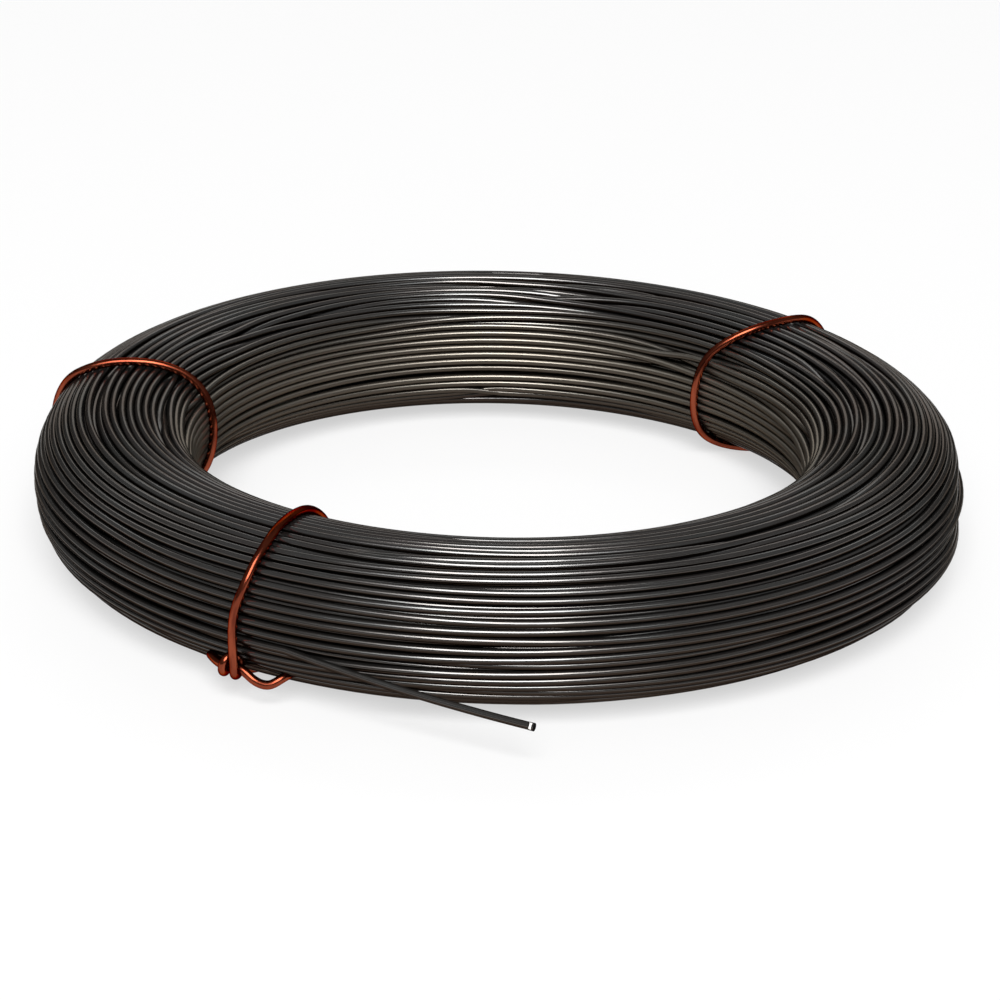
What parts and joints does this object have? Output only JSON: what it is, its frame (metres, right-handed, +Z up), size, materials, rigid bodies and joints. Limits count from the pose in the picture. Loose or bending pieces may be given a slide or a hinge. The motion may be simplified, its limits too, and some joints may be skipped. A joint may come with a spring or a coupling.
{
  "type": "coil of binding wire",
  "caption": "Coil of black annealed steel binding wire, lying flat, held by copper-washed tie wires, with one free end standing off its outside.",
  "frame": {"origin": "on the coil's axis, at the level of the surface that the coil lies on", "axes": "+Z up along the coil's axis, -Y towards the side that the free end leaves on, +X to its right"},
  "size_m": [0.2215, 0.2365, 0.0382],
  "materials": {
    "annealed_wire": "black annealed steel with a dark, satin oxide skin and fine bright scratches",
    "copper_washed_wire": "copper-washed steel, satin, dulled to a deep orange brown"
  },
  "bodies": {
    "root": {"wire_coil": "annealed_wire", "tie_front": "copper_washed_wire", "tie_left": "copper_washed_wire", "tie_right": "copper_washed_wire"}
  },
  "joints": []
}
